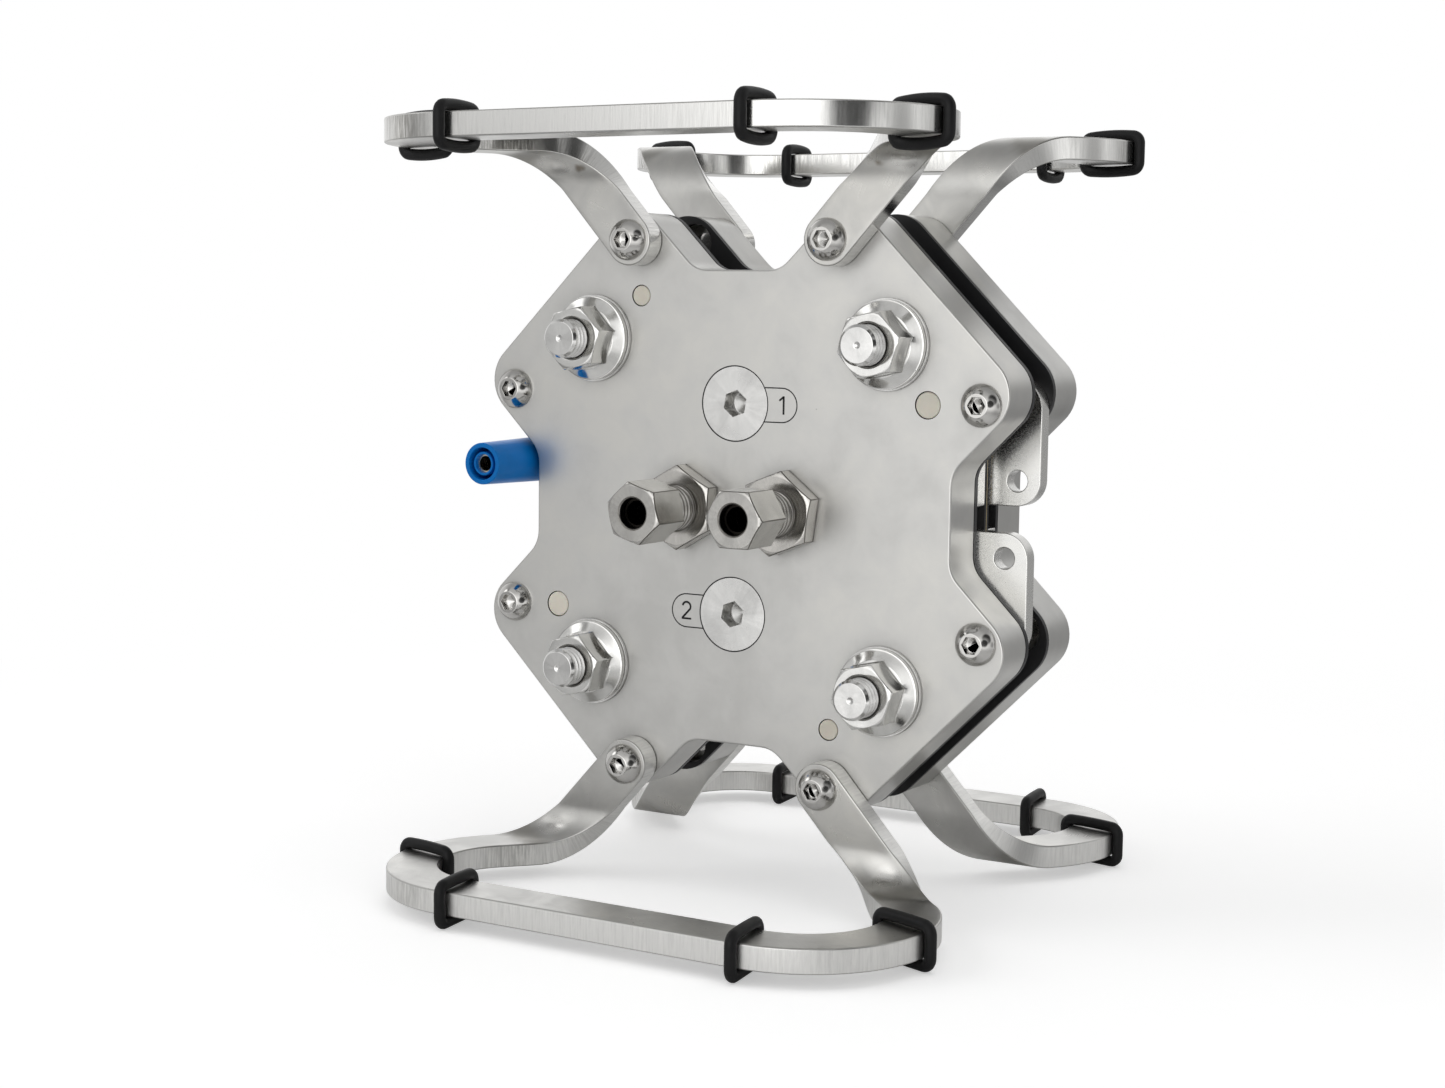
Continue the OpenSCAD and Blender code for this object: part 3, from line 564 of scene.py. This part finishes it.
def bracket_path(arm_steps=48, corner_steps=40, bar_steps=8):
    """Centre line of the flat pattern from one screw to the other: point, normal and length."""
    sin_a = math.sin(ARM)
    cos_a = math.cos(ARM)
    points = []
    for i in range(arm_steps):
        t = ARM_LENGTH * i / arm_steps
        points.append(((SCREW_IN + t * sin_a, t * cos_a), (cos_a, -sin_a), t))
    for i in range(corner_steps + 1):
        a = -ARM + CORNER_SWEEP * i / corner_steps
        out = (math.cos(a), math.sin(a))
        points.append(((LOOP_X + CORNER_R * out[0], LOOP_C + CORNER_R * out[1]), out,
                       ARM_LENGTH + CORNER_R * CORNER_SWEEP * i / corner_steps))
    last = points[-1][2]
    for i in range(1, bar_steps + 1):
        x = LOOP_X * (1 - i / bar_steps)
        points.append(((x, BAR_AT), (0.0, 1.0), last + LOOP_X - x))
    total = points[-1][2]
    mirrored = [((-p[0], p[1]), (-q[0], q[1]), 2 * total - t) for p, q, t in reversed(points[:-1])]
    return points + mirrored


def strip_section():
    """Rounded section of the strip: (across, through), anticlockwise from the outer side."""
    x0 = STRIP_W / 2 - EDGE_R
    high = STRIP_T - EDGE_R
    section = []
    for k, (cx, cy) in enumerate(((x0, high), (-x0, high), (-x0, EDGE_R), (x0, EDGE_R))):
        for j in range(EDGE_STEPS + 1):
            a = math.radians(90 * k + 90 * j / EDGE_STEPS)
            section.append((cx + EDGE_R * math.cos(a), cy + EDGE_R * math.sin(a)))
        if k in (0, 2):
            y = STRIP_T if k == 0 else 0.0
            section += [(cx * (1 - 2 * j / ACROSS), y) for j in range(1, ACROSS)]
    return section


class Strip:
    """Sweeps the section along the flat pattern and bends it. Each vertex is marked where it lies on
    a narrow edge, and the UVs are the lengths along and round the strip, in metres."""

    def __init__(self, front, bottom):
        self.place = (front, bottom)
        self.section = strip_section()
        self.bm = bmesh.new()
        self.uv = self.bm.loops.layers.uv.new("UV")
        self.edge = self.bm.verts.layers.float.new("edge")
        self.round = [0.0]
        for i in range(len(self.section)):
            self.round.append(self.round[-1] + self.step(i))

    def step(self, i):
        return math.dist(self.section[i], self.section[(i + 1) % len(self.section)])

    def vert(self, point, normal, i):
        a, c = self.section[i]
        space = flat_to_space(point[0] + normal[0] * a, point[1] + normal[1] * a, c)
        v = self.bm.verts.new(to_world(space, *self.place))
        # The rounded corners count as the broad faces
        margin = 0.25
        on_edge = abs(a) > STRIP_W / 2 - margin and margin < c < STRIP_T - margin
        v[self.edge] = 1.0 if on_edge else 0.0
        return v

    def quad(self, verts, uvs):
        face = self.bm.faces.new(verts)
        for loop, (u, v) in zip(face.loops, uvs):
            loop[self.uv].uv = (u * MM, v * MM)

    def sweep(self, path):
        count = len(self.section)
        rings = [[self.vert(p, q, i) for i in range(count)] for p, q, _ in path]
        for k in range(len(path) - 1):
            ra = rings[k]
            rb = rings[k + 1]
            ta = path[k][2]
            tb = path[k + 1][2]
            for i in range(count):
                j = (i + 1) % count
                va = self.round[i]
                vb = self.round[i + 1]
                self.quad((ra[i], rb[i], rb[j], ra[j]), ((ta, va), (tb, va), (tb, vb), (ta, vb)))
        return rings

    def round_end(self, ring, station, way, steps=20):
        """Turns the outer half of the section round to the inner half and closes both faces."""
        point, normal, t = station
        # First point of each of the section's four rounds
        c0 = 0
        c1 = EDGE_STEPS + ACROSS
        c2 = 2 * EDGE_STEPS + ACROSS + 1
        c3 = 3 * EDGE_STEPS + 2 * ACROSS + 1
        turns = range(EDGE_STEPS + 1)
        outer = [c3 + j for j in turns] + [c0 + j for j in turns]
        inner = [c2 + EDGE_STEPS - j for j in turns] + [c1 + EDGE_STEPS - j for j in turns]
        tangent = (-normal[1], normal[0])
        if tangent[1] > 0:
            tangent = (-tangent[0], -tangent[1])
        columns = [[ring[i] for i in outer]]
        for k in range(1, steps):
            a = math.pi * k / steps
            out = (normal[0] * math.cos(a) + tangent[0] * math.sin(a),
                   normal[1] * math.cos(a) + tangent[1] * math.sin(a))
            columns.append([self.vert(point, out, i) for i in outer])
        columns.append([ring[i] for i in inner])
        for k, (ca, cb) in enumerate(zip(columns, columns[1:])):
            ta = t + way * STRIP_W / 2 * math.pi * k / steps
            tb = t + way * STRIP_W / 2 * math.pi * (k + 1) / steps
            for i in range(len(outer) - 1):
                va = self.round[outer[i]]
                vb = va + math.dist(self.section[outer[i]], self.section[outer[i + 1]])
                self.quad((ca[i], cb[i], cb[i + 1], ca[i + 1]), ((ta, va), (tb, va), (tb, vb), (ta, vb)))
        upper = [ring[i] for i in range(c1 - 1, EDGE_STEPS, -1)]
        lower = [ring[i] for i in range(c2 + EDGE_STEPS + 1, c3)]
        for row, middle in ((-1, upper), (0, lower)):
            edge = [c[row] for c in columns]
            face = self.bm.faces.new(edge + middle)
            for loop in face.loops:
                co = loop.vert.co
                loop[self.uv].uv = (t * MM + co.z - edge[0].co.z, co.x - edge[0].co.x)


def bracket(name, front, bottom):
    strip = Strip(front, bottom)
    path = bracket_path()
    rings = strip.sweep(path)
    strip.round_end(rings[0], path[0], -1)
    strip.round_end(rings[-1], path[-1], 1)
    bmesh.ops.recalc_face_normals(strip.bm, faces=strip.bm.faces)
    ob = add_mesh(name + "_look", strip.bm, LOOKS["strip"])
    ob.modifiers.new("normals", "WEIGHTED_NORMAL").weight = 60
    freeze(ob)
    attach(ob, "root")
    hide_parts(name)


for name, front, bottom in (("front_top_bracket", True, False), ("front_bottom_bracket", True, True),
                            ("rear_top_bracket", False, False), ("rear_bottom_bracket", False, True)):
    bracket(name, front, bottom)


# O-rings

# Inner radius of a ring's corners, its gap to the broad faces and its bite into the narrow edges
RING_CORNER = 0.6
RING_GAP = 0.03
RING_BITE = 0.05
# Lean of the rings on the bar and on the corners, in degrees, and how far each may differ from it
BAR_LEAN = 6
CORNER_LEAN = -15
LEAN_SPREAD = 2


def ring_outline(half, bow_in, bow_out, slack):
    """Closed centre line of a ring in its own plane: across the strip, then through it. The bows
    are the bulges of the runs towards the cell and away from it, slack the gap of the outer run."""
    r = CORD / 2 + RING_CORNER
    x = half - r
    points = []
    for sign, bow, gap in ((1, bow_in, RING_GAP), (-1, bow_out, slack)):
        y = STRIP_T / 2 + CORD / 2 + gap - r
        b = 2 * math.atan2(bow, x)
        angles = [(math.pi / 2 - b) * i / 8 for i in range(9)]
        corner = [(x + r * math.cos(a), y + r * math.sin(a)) for a in angles]
        if bow > 0:
            big = x / math.sin(b)
            turns = [-b + 2 * b * i / 14 for i in range(1, 14)]
            middle = y - big * math.cos(b)
            run = [((big + r) * math.sin(-t), middle + (big + r) * math.cos(t)) for t in turns]
        else:
            run = [(x - 2 * x * i / 10, y + r) for i in range(1, 10)]
        line = corner + run + [(-q, w) for q, w in reversed(corner)]
        points += line if sign > 0 else [(-q, -w) for q, w in line]
    return points


def ring_seat(kind, k, skew):
    """Where a ring sits on the flat loop, in millimetres: centre, direction and half length."""
    leg = CORD / 2 - RING_BITE
    turn = Matrix.Rotation(skew, 3, "Z")
    if kind == "bar":
        out = turn @ Vector((0, -1, 0))
        return Vector((k * (LOOP_X - 1), -BAR_AT, 0)), out, (STRIP_W / 2 + leg) / math.cos(skew)
    a = math.radians(-3 if k > 0 else 183)
    radial = Vector((math.cos(a), math.sin(a), 0))
    out = turn @ radial
    far = radial * (CORNER_R + STRIP_W / 2 + leg)
    near = CORNER_R - STRIP_W / 2 - leg
    along = far.dot(out)
    span = along - math.sqrt(near ** 2 - (far.length_squared - along ** 2))
    return Vector((k * LOOP_X, -LOOP_C, 0)) + far - out * span / 2, out, span / 2


def tube(bm, path, side, place, sides=16):
    """A closed cord along a flat path; place takes a point to the part's frame."""
    count = len(path)
    rings = []
    for i in range(count):
        tangent = (path[(i + 1) % count] - path[i - 1]).normalized()
        normal = tangent.cross(side).normalized()
        ring = []
        for j in range(sides):
            a = 2 * math.pi * j / sides
            offset = (normal * math.cos(a) + side * math.sin(a)) * (CORD / 2)
            ring.append(bm.verts.new(place(path[i] + offset)))
        rings.append(ring)
    for ra, rb in zip(rings, rings[1:] + rings[:1]):
        for j in range(sides):
            bm.faces.new((ra[j], ra[(j + 1) % sides], rb[(j + 1) % sides], rb[j]))


def o_rings(name, front, bottom, seed):
    """Four rings of one bracket, each a little askew on the strip as they were pushed on."""
    rnd = random.Random(seed)
    bm = bmesh.new()
    up = Vector((0, 0, 1))
    on_loop = Vector((0, BEND_TO - STRIP_T - BEND_R, -(BEND_FROM + BEND_R + STRIP_T / 2)))
    for k in (-1, 1):
        for kind, lean in (("bar", BAR_LEAN), ("corner", CORNER_LEAN)):
            skew = math.radians(lean + rnd.uniform(-LEAN_SPREAD, LEAN_SPREAD)) * (1 if front else -1)
            centre, out, half = ring_seat(kind, k, skew)
            if bottom:
                # The outer run is straight and lies on the floor
                line = ring_outline(half, 0.12 + rnd.uniform(-0.04, 0.06), 0.0, FLOOR_GAP - CORD)
            else:
                bow_in = 0.34 + rnd.uniform(-0.06, 0.08)
                line = ring_outline(half, bow_in, 0.34 + rnd.uniform(-0.06, 0.08), RING_GAP)
            path = [centre + out * p + up * q for p, q in line]
            tube(bm, path, out.cross(up).normalized(), lambda v: to_world(v + on_loop, front, bottom))
    bmesh.ops.recalc_face_normals(bm, faces=bm.faces)
    ob = add_mesh(name + "_look", bm, LOOKS["ring"])
    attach(ob, "root")
    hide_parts(name)


o_rings("front_top_o_rings", True, False, 3)
o_rings("front_bottom_o_rings", True, True, 5)
o_rings("rear_top_o_rings", False, False, 7)
o_rings("rear_bottom_o_rings", False, True, 11)


# Plates, fasteners and fittings

# Edges of an end plate that stay sharp: all within this radius of the axis, and those round the
# holes of its lobes, in millimetres
INNER_R = 54
LOBE_HOLE_R = 5.6


def outline_only(mid):
    """Full width on an end plate's outline, and none round its holes and engraved lines."""
    x = abs(mid.x)
    z = abs(mid.z - AXIS)
    holes = ((SCREW_IN, SCREW_OUT), (SCREW_OUT, SCREW_IN), (PIN_NEAR, PIN_FAR), (PIN_FAR, PIN_NEAR))
    in_lobe_hole = any(math.dist((x, z), p) < LOBE_HOLE_R for p in holes)
    return 0.0 if math.hypot(x, z) < INNER_R or in_lobe_hole else 1.0


# Width of the broken edges, look, and area in square millimetres above which a face stays flat
softened("front_end_plate", 0.5, "plate", 30, weigh=outline_only)
softened("rear_end_plate", 0.5, "plate", 30, weigh=outline_only)
softened("front_electrode_plate", 0.3, "electrode", 20)
softened("rear_electrode_plate", 0.3, "electrode", 20)
softened("flange_nuts", 0.22, "nut", 8)
softened("tie_bolts", 0.1, "bolt", 8)
softened("tie_washers", 0.12, "washer", 8)
softened("bracket_screws", 0.12, "screw", 3)
softened("side_screws", 0.12, "screw", 3)
softened("port_plugs", 0.1, "plug", 12)
softened("small_pins", 0.32, "pin", 12, segments=3)
softened("large_pins", 0.36, "pin", 12, segments=3)
softened("fitting_bodies", 0.2, "fitting", 10, edge_look="fitting_edge_shade")
softened("fitting_nuts", 0.2, "fitting_nut", 10, edge_look="fitting_edge_shade")
softened("blue_socket_shroud", 0.25, "blue", 30)
softened("red_socket_shroud", 0.25, "red", 30)

# The other nodes keep their own mesh
for node, look in (("front_insulating_sheet", "sheet"), ("rear_insulating_sheet", "sheet"),
                   ("front_gasket_frame", "gasket"), ("rear_gasket_frame", "gasket"),
                   ("front_transport_layer", "felt"), ("rear_transport_layer", "felt_dark"),
                   ("membrane", "membrane"), ("bolt_sleeves", "sleeve"), ("fitting_ferrules", "fitting"),
                   ("blue_socket_contact", "contact"), ("red_socket_contact", "contact"),
                   ("socket_nuts", "bolt")):
    for slot in frame["nodes"][node].material_slots:
        slot.material = LOOKS[look]


# Lines round the ports

def ribbon(bm, points, width, y, closed=False):
    """A flat line on the front face along points (x, z), all in millimetres."""
    count = len(points)
    pairs = []
    for i, p in enumerate(points):
        a = points[i - 1] if closed or i else p
        b = points[(i + 1) % count] if closed or i < count - 1 else p
        d = Vector((b[0] - a[0], b[1] - a[1])).normalized() * width / 2
        pairs.append([bm.verts.new(Vector((p[0] + s * d.y, y, p[1] - s * d.x)) * MM) for s in (-1, 1)])
    for i in range(count if closed else count - 1):
        first = pairs[i]
        second = pairs[(i + 1) % count]
        bm.faces.new((first[0], second[0], second[1], first[1]))


def arc(x, z, r, start, end, steps):
    angles = [math.radians(start + (end - start) * i / steps) for i in range(steps + 1)]
    return [(x + r * math.cos(a), z + r * math.sin(a)) for a in angles]


def number_one(bm, x, z, y):
    ribbon(bm, [(x + 0.3, z - 2.3), (x + 0.3, z + 2.3)], 0.55, y)
    ribbon(bm, [(x + 0.3, z + 2.15), (x - 0.95, z + 1.15)], 0.5, y)


def number_two(bm, x, z, y):
    ribbon(bm, arc(x, z + 1.0, 1.2, 170, -30, 12) + [(x - 1.35, z - 2.1)], 0.55, y)
    ribbon(bm, [(x - 1.45, z - 2.1), (x + 1.45, z - 2.1)], 0.5, y - 0.003)


def port_lines():
    """A dark ring painted as the shade of the gap round each port plug, a dark line on the outline of the
    tab beside it and a plain number in it.
    """
    bm = bmesh.new()
    y = FRONT - 0.012
    plug_r = 9.6
    tab_half = 4.3
    tab_x = 13.6
    line_w = 0.3
    start_x = math.sqrt(plug_r ** 2 - tab_half ** 2)
    for side in (1, -1):
        z = AXIS + side * PLUG_AT
        # Painted shade over the gap round the plug
        ribbon(bm, arc(0, z, plug_r - 0.06, 0, 360, 96)[:-1], line_w, y, True)
        tab = [(start_x, z + tab_half)] + arc(tab_x, z, tab_half, 90, -90, 24) + [(start_x, z - tab_half)]
        ribbon(bm, [(side * px, pz) for px, pz in tab], line_w, y)
    number_one(bm, tab_x + 0.2, AXIS + PLUG_AT, y)
    number_two(bm, -tab_x, AXIS - PLUG_AT, y)
    bmesh.ops.recalc_face_normals(bm, faces=bm.faces)
    ob = add_mesh("port_lines", bm, LOOKS["line"], False)
    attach(ob, "root")


port_lines()


# Floor, light and camera

def floor():
    """White far out for the camera, with the object's shadow near it. Farther out, metal sees the
    room below the horizon in place of the floor."""
    bm = bmesh.new()
    bmesh.ops.create_grid(bm, x_segments=1, y_segments=1, size=6.0)
    n = Surface("floor_look")
    v = n.coord()
    cloud = n.noise(v, 3, 2, 0.5)
    n.set(color=n.ramp(cloud, [(0.3, (0.80, 0.80, 0.80)), (0.7, (0.82, 0.82, 0.82))]), rough=0.9, spec=0.1)
    path = n.new("LightPath")
    glossy = path.outputs["Is Glossy Ray"]
    seen = n.calc("MAXIMUM", path.outputs["Is Camera Ray"], path.outputs["Is Transmission Ray"])
    lift = n.new("Emission")
    n.put(lift, "Strength", n.mix_value(glossy, 0.43, 0.06))
    near = n.new("AddShader")
    n.put(near, 0, n.bsdf.outputs[0])
    n.put(near, 1, lift.outputs[0])
    far = n.remap(n.vector("DISTANCE", v, (0.05, 0.02, 0.0)), 0.16, 0.5, 0.0, 1.0, True)
    past = n.remap(n.vector("LENGTH", v), 0.12, 0.32, 0.0, 1.0, True)
    look = n.mix_shader(n.calc("MAXIMUM", seen, glossy), n.bsdf, near)
    look = n.mix_shader(n.calc("MULTIPLY", glossy, past), look, n.new("BsdfTransparent"))
    look = n.mix_shader(n.calc("MULTIPLY", seen, far), look, n.new("Emission"))
    n.put(n.out, 0, look.outputs[0])
    ob = add_mesh("floor", bm, n.mat, False)


# What stands in the room as metal sees it: direction, half width and soft rim in degrees, and how
# much lighter or darker than the room it is
ROOM = (((0.10, -0.99, 0.08), 10, 18, 0.9), ((-0.50, -0.80, 0.36), 12, 16, 0.25),
        ((0.80, -0.58, 0.13), 11, 9, -1.05), ((0.97, 0.15, -0.02), 4, 12, -0.4),
        ((0.84, -0.30, 0.46), 16, 12, -0.7), ((-0.78, -0.30, 0.55), 6, 6, 1.3))


def world():
    """White to the camera, plain for diffuse light; metal sees a bright front and a dimmer back of
    the room, which darkens upwards and below the horizon."""
    studio = bpy.data.worlds.new("studio")
    bpy.context.scene.world = studio
    studio.use_nodes = True
    n = Tree(studio.node_tree, "OutputWorld")
    look_at = n.vector("NORMALIZE", n.new("TexCoord").outputs["Generated"])
    x, y, z = n.split(look_at)[:3]
    back = n.calc("ADD", n.remap(x, 0.1, -0.5, 0.38, 0.95, True), n.remap(z, 0.05, 0.4, 0.0, 0.5, True))
    front = n.remap(x, -0.57, -0.46, 0.42, 1.15, True)
    side = 0.78
    tone = n.mix_value(n.remap(y, 0.0, -0.5, 0.0, 1.0, True), side, front)
    tone = n.mix_value(n.remap(y, 0.85, 0.35, 0.0, 1.0, True), back, tone)
    tone = n.calc("MULTIPLY", tone, n.remap(z, 0.35, 0.85, 1.0, 0.55, True))
    tone = n.calc("MULTIPLY", tone, n.remap(z, -0.6, -0.15, 0.45, 1.0, True))
    for at, wide, soft, more in ROOM:
        turn = n.vector("DOT_PRODUCT", look_at, tuple(Vector(at).normalized()))
        outer = math.cos(math.radians(wide + soft))
        inner = math.cos(math.radians(wide))
        tone = n.calc("ADD", tone, n.remap(turn, outer, inner, 0.0, more, True))
    room, plain, white = (n.new("Background") for _ in range(3))
    for light, strength in ((room, n.calc("MAXIMUM", tone, 0.05)), (plain, 0.40), (white, 1.0)):
        n.put(light, "Color", (1, 1, 1, 1))
        n.put(light, "Strength", strength)
    path = n.new("LightPath")
    seen = n.calc("MAXIMUM", path.outputs["Is Camera Ray"], path.outputs["Is Transmission Ray"])
    look = n.mix_shader(path.outputs["Is Glossy Ray"], plain, room)
    n.put(n.out, 0, n.mix_shader(seen, look, white).outputs[0])


def lamp(name, at, width, depth, power):
    """A soft lamp turned to the middle of the cell; metal sees the room in its place."""
    light = bpy.data.lights.new(name, "AREA")
    light.shape = "RECTANGLE"
    light.size = width
    light.size_y = depth
    light.energy = power
    ob = bpy.data.objects.new(name, light)
    bpy.context.collection.objects.link(ob)
    ob.location = at
    ob.rotation_euler = (Vector((0, 0, 0.08)) - Vector(at)).to_track_quat("-Z", "Y").to_euler()
    ob.visible_glossy = False


def camera():
    """The photograph's camera: its place in metres and the directions of its picture plane."""
    data = bpy.data.cameras.new("camera")
    data.sensor_width = 36.0
    data.sensor_fit = "HORIZONTAL"
    data.lens = 57.2814
    data.clip_start = 0.01
    ob = bpy.data.objects.new("camera", data)
    bpy.context.collection.objects.link(ob)
    right = Vector((0.86149, 0.50762, 0.01278))
    up = Vector((-0.06443, 0.08432, 0.99435))
    back = Vector((0.50367, -0.85745, 0.10535))
    turn = Matrix((right, up, back)).transposed().to_4x4()
    ob.matrix_world = Matrix.Translation((0.2925, -0.52442, 0.15212)) @ turn
    bpy.context.scene.camera = ob


floor()
world()
lamp("key", (-1.5, -0.7, 1.05), 1.3, 1.1, 9.0)
lamp("top", (0.1, 0.2, 1.8), 1.4, 1.4, 6.8)
lamp("fill", (1.2, -0.6, 0.8), 1.0, 1.0, 2.5)
camera()
bpy.context.scene.view_settings.view_transform = "Standard"
